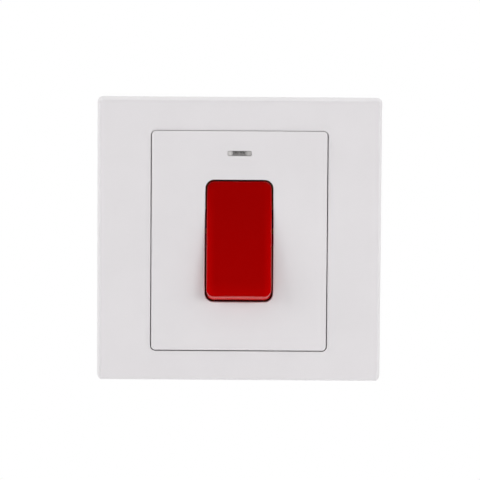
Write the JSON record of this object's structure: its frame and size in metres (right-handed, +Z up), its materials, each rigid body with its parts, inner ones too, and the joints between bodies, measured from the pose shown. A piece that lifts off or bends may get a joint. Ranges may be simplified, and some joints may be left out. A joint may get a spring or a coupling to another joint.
{
  "type": "double pole switch",
  "caption": "Square white wall plate with a large deep red rocker and an unlit indicator window; breaks both poles of an appliance circuit.",
  "frame": {"origin": "centre of the two fixing slots, on the wall plane", "axes": "+X right as seen from the room, +Z up, +Y into the wall; the rocker faces -Y"},
  "size_m": [0.086, 0.0393, 0.086],
  "materials": {
    "white_plastic": "satin moulded white",
    "red_plastic": "satin moulded deep red",
    "lens_plastic": "clear smoky moulding",
    "lamp_glass": "clear glass",
    "resistor_lacquer": "tan lacquer",
    "tinned_copper": "tinned wire",
    "dark_plastic": "matt moulded charcoal",
    "zinc_steel": "bright zinc plating",
    "brass": "machined brass",
    "copper": "pressed copper strip",
    "silver": "silver alloy button",
    "plunger_plastic": "natural acetal",
    "spring_steel": "drawn spring wire"
  },
  "bodies": {
    "base": {"surround_frame": "white_plastic", "front_plate": "white_plastic", "indicator_lens": "lens_plastic", "neon_lamp": "lamp_glass", "neon_resistor": "resistor_lacquer", "lamp_lead_live": "tinned_copper", "lamp_lead_neutral": "tinned_copper", "resistor_lead": "tinned_copper", "housing": "dark_plastic", "housing_screws": "zinc_steel", "terminal_screws": "zinc_steel", "supply_terminal_live": "brass", "supply_terminal_neutral": "brass", "load_terminal_live": "brass", "load_terminal_neutral": "brass", "fixed_contact_live": "silver", "fixed_contact_neutral": "silver"},
    "rocker_unit": {"rocker": "red_plastic", "plunger_spring_live": "spring_steel", "plunger_spring_neutral": "spring_steel"},
    "plunger_unit_live": {"plunger_live": "plunger_plastic"},
    "plunger_unit_neutral": {"plunger_neutral": "plunger_plastic"},
    "contact_unit_live": {"moving_contact_live": "copper", "moving_tip_live": "silver"},
    "contact_unit_neutral": {"moving_contact_neutral": "copper", "moving_tip_neutral": "silver"}
  },
  "joints": [
    {"name": "rocker_tilt", "type": "hinge", "parent": "base", "child": "rocker_unit", "pos_m": [0, -0.005, 0], "axis": [1, 0, 0], "range_deg": [0, 15]},
    {"name": "contact_tilt_live", "type": "hinge", "parent": "base", "child": "contact_unit_live", "pos_m": [0.005, 0.00981, 0], "axis": [1, 0, 0], "range_deg": [-16.5, 0]},
    {"name": "contact_tilt_neutral", "type": "hinge", "parent": "base", "child": "contact_unit_neutral", "pos_m": [-0.005, 0.00981, 0], "axis": [1, 0, 0], "range_deg": [-16.5, 0]},
    {"name": "plunger_slide_live", "type": "slide", "parent": "rocker_unit", "child": "plunger_unit_live", "axis": [0, -0.9914, 0.1305], "range_m": [0, 0.0012], "stiffness_N_per_m": 1500, "springref_m": -0.002, "deforming": ["plunger_spring_live"]},
    {"name": "plunger_slide_neutral", "type": "slide", "parent": "rocker_unit", "child": "plunger_unit_neutral", "axis": [0, -0.9914, 0.1305], "range_m": [0, 0.0012], "stiffness_N_per_m": 1500, "springref_m": -0.002, "deforming": ["plunger_spring_neutral"]}
  ],
  "couplings": [
    {"joint": "contact_tilt_live", "follows": "rocker_tilt", "ratio": -1.1},
    {"joint": "contact_tilt_neutral", "follows": "rocker_tilt", "ratio": -1.1}
  ]
}
